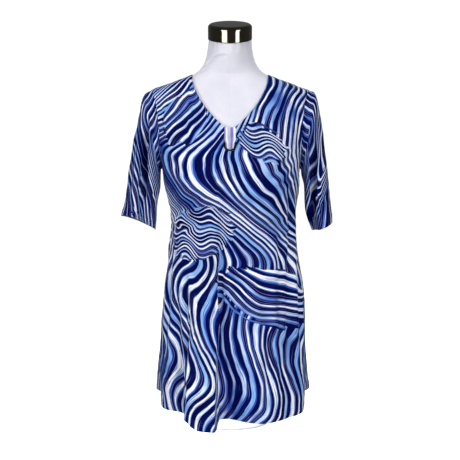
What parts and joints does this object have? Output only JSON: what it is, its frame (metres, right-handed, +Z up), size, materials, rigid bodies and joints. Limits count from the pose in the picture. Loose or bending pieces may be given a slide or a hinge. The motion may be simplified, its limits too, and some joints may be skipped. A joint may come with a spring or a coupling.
{
  "type": "v-neck tunic top on a dress form",
  "caption": "V-neck jersey tunic top with elbow sleeves, a looped tab and metal ring at the neck and side vents, in a blue and white brushed stripe print, on a white limbless dress form.",
  "frame": {"origin": "middle of the underside of the stand's round plate", "axes": "+Z up, the front of the tunic faces -Y, +X is the viewer's right"},
  "size_m": [0.4783, 0.3289, 0.9148],
  "materials": {
    "jersey": "soft sheen, printed",
    "bronze": "antiqued, dark",
    "form_cover": "matte knit",
    "cap_lacquer": "gloss",
    "stand_paint": "satin"
  },
  "bodies": {
    "root": {"front": "jersey", "back": "jersey", "sleeve_left": "jersey", "sleeve_right": "jersey", "neck_tab": "jersey", "neck_ring": "bronze", "form_torso": "form_cover", "form_cap": "cap_lacquer", "stand_pole": "stand_paint", "stand_base": "stand_paint"}
  },
  "joints": []
}
